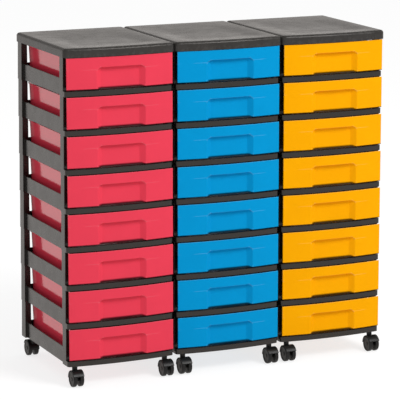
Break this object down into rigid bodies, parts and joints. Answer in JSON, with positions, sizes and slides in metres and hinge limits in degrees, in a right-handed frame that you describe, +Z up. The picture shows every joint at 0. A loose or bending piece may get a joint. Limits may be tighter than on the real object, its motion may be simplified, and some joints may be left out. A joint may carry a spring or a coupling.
{
  "type": "rolling drawer cart",
  "caption": "Row of rolling plastic drawer towers in red, blue and yellow: stacked dark frames, sliding trays with recessed grips, dished tops and twin-wheel castors.",
  "frame": {"origin": "on the floor under the middle of the set's bounding box", "axes": "+X to the right along the drawer fronts, +Y from the fronts to the backs, +Z up"},
  "size_m": [0.8396, 0.3498, 0.8095],
  "materials": {
    "frame_plastic": "fine moulded grain, dark grey",
    "red_plastic": "satin moulded plastic, red",
    "blue_plastic": "satin moulded plastic, blue",
    "yellow_plastic": "satin moulded plastic, warm yellow",
    "castor_plastic": "black moulded plastic",
    "wheel_plastic": "hard black wheel plastic",
    "sleeve_plastic": "pale bearing plastic"
  },
  "bodies": {
    "frame": {"red_base_frame": "frame_plastic", "red_level_frames": "frame_plastic", "red_top_cover": "frame_plastic", "red_stem_sleeves": "sleeve_plastic", "blue_base_frame": "frame_plastic", "blue_level_frames": "frame_plastic", "blue_top_cover": "frame_plastic", "blue_stem_sleeves": "sleeve_plastic", "yellow_base_frame": "frame_plastic", "yellow_level_frames": "frame_plastic", "yellow_top_cover": "frame_plastic", "yellow_stem_sleeves": "sleeve_plastic"},
    "red_drawer_8": {"red_drawer_8": "red_plastic"},
    "red_drawer_7": {"red_drawer_7": "red_plastic"},
    "red_drawer_6": {"red_drawer_6": "red_plastic"},
    "red_drawer_5": {"red_drawer_5": "red_plastic"},
    "red_drawer_4": {"red_drawer_4": "red_plastic"},
    "red_drawer_3": {"red_drawer_3": "red_plastic"},
    "red_drawer_2": {"red_drawer_2": "red_plastic"},
    "red_drawer_1": {"red_drawer_1": "red_plastic"},
    "red_front_left_castor": {"red_front_left_castor_fork": "castor_plastic"},
    "red_front_left_castor_wheels": {"red_front_left_castor_wheels": "wheel_plastic"},
    "red_front_right_castor": {"red_front_right_castor_fork": "castor_plastic"},
    "red_front_right_castor_wheels": {"red_front_right_castor_wheels": "wheel_plastic"},
    "red_rear_left_castor": {"red_rear_left_castor_fork": "castor_plastic"},
    "red_rear_left_castor_wheels": {"red_rear_left_castor_wheels": "wheel_plastic"},
    "red_rear_right_castor": {"red_rear_right_castor_fork": "castor_plastic"},
    "red_rear_right_castor_wheels": {"red_rear_right_castor_wheels": "wheel_plastic"},
    "blue_drawer_8": {"blue_drawer_8": "blue_plastic"},
    "blue_drawer_7": {"blue_drawer_7": "blue_plastic"},
    "blue_drawer_6": {"blue_drawer_6": "blue_plastic"},
    "blue_drawer_5": {"blue_drawer_5": "blue_plastic"},
    "blue_drawer_4": {"blue_drawer_4": "blue_plastic"},
    "blue_drawer_3": {"blue_drawer_3": "blue_plastic"},
    "blue_drawer_2": {"blue_drawer_2": "blue_plastic"},
    "blue_drawer_1": {"blue_drawer_1": "blue_plastic"},
    "blue_front_left_castor": {"blue_front_left_castor_fork": "castor_plastic"},
    "blue_front_left_castor_wheels": {"blue_front_left_castor_wheels": "wheel_plastic"},
    "blue_front_right_castor": {"blue_front_right_castor_fork": "castor_plastic"},
    "blue_front_right_castor_wheels": {"blue_front_right_castor_wheels": "wheel_plastic"},
    "blue_rear_left_castor": {"blue_rear_left_castor_fork": "castor_plastic"},
    "blue_rear_left_castor_wheels": {"blue_rear_left_castor_wheels": "wheel_plastic"},
    "blue_rear_right_castor": {"blue_rear_right_castor_fork": "castor_plastic"},
    "blue_rear_right_castor_wheels": {"blue_rear_right_castor_wheels": "wheel_plastic"},
    "yellow_drawer_8": {"yellow_drawer_8": "yellow_plastic"},
    "yellow_drawer_7": {"yellow_drawer_7": "yellow_plastic"},
    "yellow_drawer_6": {"yellow_drawer_6": "yellow_plastic"},
    "yellow_drawer_5": {"yellow_drawer_5": "yellow_plastic"},
    "yellow_drawer_4": {"yellow_drawer_4": "yellow_plastic"},
    "yellow_drawer_3": {"yellow_drawer_3": "yellow_plastic"},
    "yellow_drawer_2": {"yellow_drawer_2": "yellow_plastic"},
    "yellow_drawer_1": {"yellow_drawer_1": "yellow_plastic"},
    "yellow_front_left_castor": {"yellow_front_left_castor_fork": "castor_plastic"},
    "yellow_front_left_castor_wheels": {"yellow_front_left_castor_wheels": "wheel_plastic"},
    "yellow_front_right_castor": {"yellow_front_right_castor_fork": "castor_plastic"},
    "yellow_front_right_castor_wheels": {"yellow_front_right_castor_wheels": "wheel_plastic"},
    "yellow_rear_left_castor": {"yellow_rear_left_castor_fork": "castor_plastic"},
    "yellow_rear_left_castor_wheels": {"yellow_rear_left_castor_wheels": "wheel_plastic"},
    "yellow_rear_right_castor": {"yellow_rear_right_castor_fork": "castor_plastic"},
    "yellow_rear_right_castor_wheels": {"yellow_rear_right_castor_wheels": "wheel_plastic"}
  },
  "joints": [
    {"name": "red_drawer_8_slide", "type": "slide", "parent": "frame", "child": "red_drawer_8", "axis": [0, -1, 0], "range_m": [0, 0.245]},
    {"name": "red_drawer_7_slide", "type": "slide", "parent": "frame", "child": "red_drawer_7", "axis": [0, -1, 0], "range_m": [0, 0.245]},
    {"name": "red_drawer_6_slide", "type": "slide", "parent": "frame", "child": "red_drawer_6", "axis": [0, -1, 0], "range_m": [0, 0.245]},
    {"name": "red_drawer_5_slide", "type": "slide", "parent": "frame", "child": "red_drawer_5", "axis": [0, -1, 0], "range_m": [0, 0.245]},
    {"name": "red_drawer_4_slide", "type": "slide", "parent": "frame", "child": "red_drawer_4", "axis": [0, -1, 0], "range_m": [0, 0.245]},
    {"name": "red_drawer_3_slide", "type": "slide", "parent": "frame", "child": "red_drawer_3", "axis": [0, -1, 0], "range_m": [0, 0.245]},
    {"name": "red_drawer_2_slide", "type": "slide", "parent": "frame", "child": "red_drawer_2", "axis": [0, -1, 0], "range_m": [0, 0.245]},
    {"name": "red_drawer_1_slide", "type": "slide", "parent": "frame", "child": "red_drawer_1", "axis": [0, -1, 0], "range_m": [0, 0.245]},
    {"name": "red_front_left_castor_swivel", "type": "hinge", "parent": "frame", "child": "red_front_left_castor", "pos_m": [-0.396, -0.1445, 0.048], "axis": [0, 0, 1], "continuous": true},
    {"name": "red_front_left_castor_roll", "type": "hinge", "parent": "red_front_left_castor", "child": "red_front_left_castor_wheels", "pos_m": [-0.396, -0.1555, 0.019], "axis": [1, 0, 0], "continuous": true},
    {"name": "red_front_right_castor_swivel", "type": "hinge", "parent": "frame", "child": "red_front_right_castor", "pos_m": [-0.164, -0.1445, 0.048], "axis": [0, 0, 1], "continuous": true},
    {"name": "red_front_right_castor_roll", "type": "hinge", "parent": "red_front_right_castor", "child": "red_front_right_castor_wheels", "pos_m": [-0.164, -0.1555, 0.019], "axis": [1, 0, 0], "continuous": true},
    {"name": "red_rear_left_castor_swivel", "type": "hinge", "parent": "frame", "child": "red_rear_left_castor", "pos_m": [-0.396, 0.1445, 0.048], "axis": [0, 0, 1], "continuous": true},
    {"name": "red_rear_left_castor_roll", "type": "hinge", "parent": "red_rear_left_castor", "child": "red_rear_left_castor_wheels", "pos_m": [-0.396, 0.1555, 0.019], "axis": [1, 0, 0], "continuous": true},
    {"name": "red_rear_right_castor_swivel", "type": "hinge", "parent": "frame", "child": "red_rear_right_castor", "pos_m": [-0.164, 0.1445, 0.048], "axis": [0, 0, 1], "continuous": true},
    {"name": "red_rear_right_castor_roll", "type": "hinge", "parent": "red_rear_right_castor", "child": "red_rear_right_castor_wheels", "pos_m": [-0.164, 0.1555, 0.019], "axis": [1, 0, 0], "continuous": true},
    {"name": "blue_drawer_8_slide", "type": "slide", "parent": "frame", "child": "blue_drawer_8", "axis": [0, -1, 0], "range_m": [0, 0.245]},
    {"name": "blue_drawer_7_slide", "type": "slide", "parent": "frame", "child": "blue_drawer_7", "axis": [0, -1, 0], "range_m": [0, 0.245]},
    {"name": "blue_drawer_6_slide", "type": "slide", "parent": "frame", "child": "blue_drawer_6", "axis": [0, -1, 0], "range_m": [0, 0.245]},
    {"name": "blue_drawer_5_slide", "type": "slide", "parent": "frame", "child": "blue_drawer_5", "axis": [0, -1, 0], "range_m": [0, 0.245]},
    {"name": "blue_drawer_4_slide", "type": "slide", "parent": "frame", "child": "blue_drawer_4", "axis": [0, -1, 0], "range_m": [0, 0.245]},
    {"name": "blue_drawer_3_slide", "type": "slide", "parent": "frame", "child": "blue_drawer_3", "axis": [0, -1, 0], "range_m": [0, 0.245]},
    {"name": "blue_drawer_2_slide", "type": "slide", "parent": "frame", "child": "blue_drawer_2", "axis": [0, -1, 0], "range_m": [0, 0.245]},
    {"name": "blue_drawer_1_slide", "type": "slide", "parent": "frame", "child": "blue_drawer_1", "axis": [0, -1, 0], "range_m": [0, 0.245]},
    {"name": "blue_front_left_castor_swivel", "type": "hinge", "parent": "frame", "child": "blue_front_left_castor", "pos_m": [-0.116, -0.1445, 0.048], "axis": [0, 0, 1], "continuous": true},
    {"name": "blue_front_left_castor_roll", "type": "hinge", "parent": "blue_front_left_castor", "child": "blue_front_left_castor_wheels", "pos_m": [-0.116, -0.1555, 0.019], "axis": [1, 0, 0], "continuous": true},
    {"name": "blue_front_right_castor_swivel", "type": "hinge", "parent": "frame", "child": "blue_front_right_castor", "pos_m": [0.116, -0.1445, 0.048], "axis": [0, 0, 1], "continuous": true},
    {"name": "blue_front_right_castor_roll", "type": "hinge", "parent": "blue_front_right_castor", "child": "blue_front_right_castor_wheels", "pos_m": [0.116, -0.1555, 0.019], "axis": [1, 0, 0], "continuous": true},
    {"name": "blue_rear_left_castor_swivel", "type": "hinge", "parent": "frame", "child": "blue_rear_left_castor", "pos_m": [-0.116, 0.1445, 0.048], "axis": [0, 0, 1], "continuous": true},
    {"name": "blue_rear_left_castor_roll", "type": "hinge", "parent": "blue_rear_left_castor", "child": "blue_rear_left_castor_wheels", "pos_m": [-0.116, 0.1555, 0.019], "axis": [1, 0, 0], "continuous": true},
    {"name": "blue_rear_right_castor_swivel", "type": "hinge", "parent": "frame", "child": "blue_rear_right_castor", "pos_m": [0.116, 0.1445, 0.048], "axis": [0, 0, 1], "continuous": true},
    {"name": "blue_rear_right_castor_roll", "type": "hinge", "parent": "blue_rear_right_castor", "child": "blue_rear_right_castor_wheels", "pos_m": [0.116, 0.1555, 0.019], "axis": [1, 0, 0], "continuous": true},
    {"name": "yellow_drawer_8_slide", "type": "slide", "parent": "frame", "child": "yellow_drawer_8", "axis": [0, -1, 0], "range_m": [0, 0.245]},
    {"name": "yellow_drawer_7_slide", "type": "slide", "parent": "frame", "child": "yellow_drawer_7", "axis": [0, -1, 0], "range_m": [0, 0.245]},
    {"name": "yellow_drawer_6_slide", "type": "slide", "parent": "frame", "child": "yellow_drawer_6", "axis": [0, -1, 0], "range_m": [0, 0.245]},
    {"name": "yellow_drawer_5_slide", "type": "slide", "parent": "frame", "child": "yellow_drawer_5", "axis": [0, -1, 0], "range_m": [0, 0.245]},
    {"name": "yellow_drawer_4_slide", "type": "slide", "parent": "frame", "child": "yellow_drawer_4", "axis": [0, -1, 0], "range_m": [0, 0.245]},
    {"name": "yellow_drawer_3_slide", "type": "slide", "parent": "frame", "child": "yellow_drawer_3", "axis": [0, -1, 0], "range_m": [0, 0.245]},
    {"name": "yellow_drawer_2_slide", "type": "slide", "parent": "frame", "child": "yellow_drawer_2", "axis": [0, -1, 0], "range_m": [0, 0.245]},
    {"name": "yellow_drawer_1_slide", "type": "slide", "parent": "frame", "child": "yellow_drawer_1", "axis": [0, -1, 0], "range_m": [0, 0.245]},
    {"name": "yellow_front_left_castor_swivel", "type": "hinge", "parent": "frame", "child": "yellow_front_left_castor", "pos_m": [0.164, -0.1445, 0.048], "axis": [0, 0, 1], "continuous": true},
    {"name": "yellow_front_left_castor_roll", "type": "hinge", "parent": "yellow_front_left_castor", "child": "yellow_front_left_castor_wheels", "pos_m": [0.164, -0.1555, 0.019], "axis": [1, 0, 0], "continuous": true},
    {"name": "yellow_front_right_castor_swivel", "type": "hinge", "parent": "frame", "child": "yellow_front_right_castor", "pos_m": [0.396, -0.1445, 0.048], "axis": [0, 0, 1], "continuous": true},
    {"name": "yellow_front_right_castor_roll", "type": "hinge", "parent": "yellow_front_right_castor", "child": "yellow_front_right_castor_wheels", "pos_m": [0.396, -0.1555, 0.019], "axis": [1, 0, 0], "continuous": true},
    {"name": "yellow_rear_left_castor_swivel", "type": "hinge", "parent": "frame", "child": "yellow_rear_left_castor", "pos_m": [0.164, 0.1445, 0.048], "axis": [0, 0, 1], "continuous": true},
    {"name": "yellow_rear_left_castor_roll", "type": "hinge", "parent": "yellow_rear_left_castor", "child": "yellow_rear_left_castor_wheels", "pos_m": [0.164, 0.1555, 0.019], "axis": [1, 0, 0], "continuous": true},
    {"name": "yellow_rear_right_castor_swivel", "type": "hinge", "parent": "frame", "child": "yellow_rear_right_castor", "pos_m": [0.396, 0.1445, 0.048], "axis": [0, 0, 1], "continuous": true},
    {"name": "yellow_rear_right_castor_roll", "type": "hinge", "parent": "yellow_rear_right_castor", "child": "yellow_rear_right_castor_wheels", "pos_m": [0.396, 0.1555, 0.019], "axis": [1, 0, 0], "continuous": true}
  ]
}
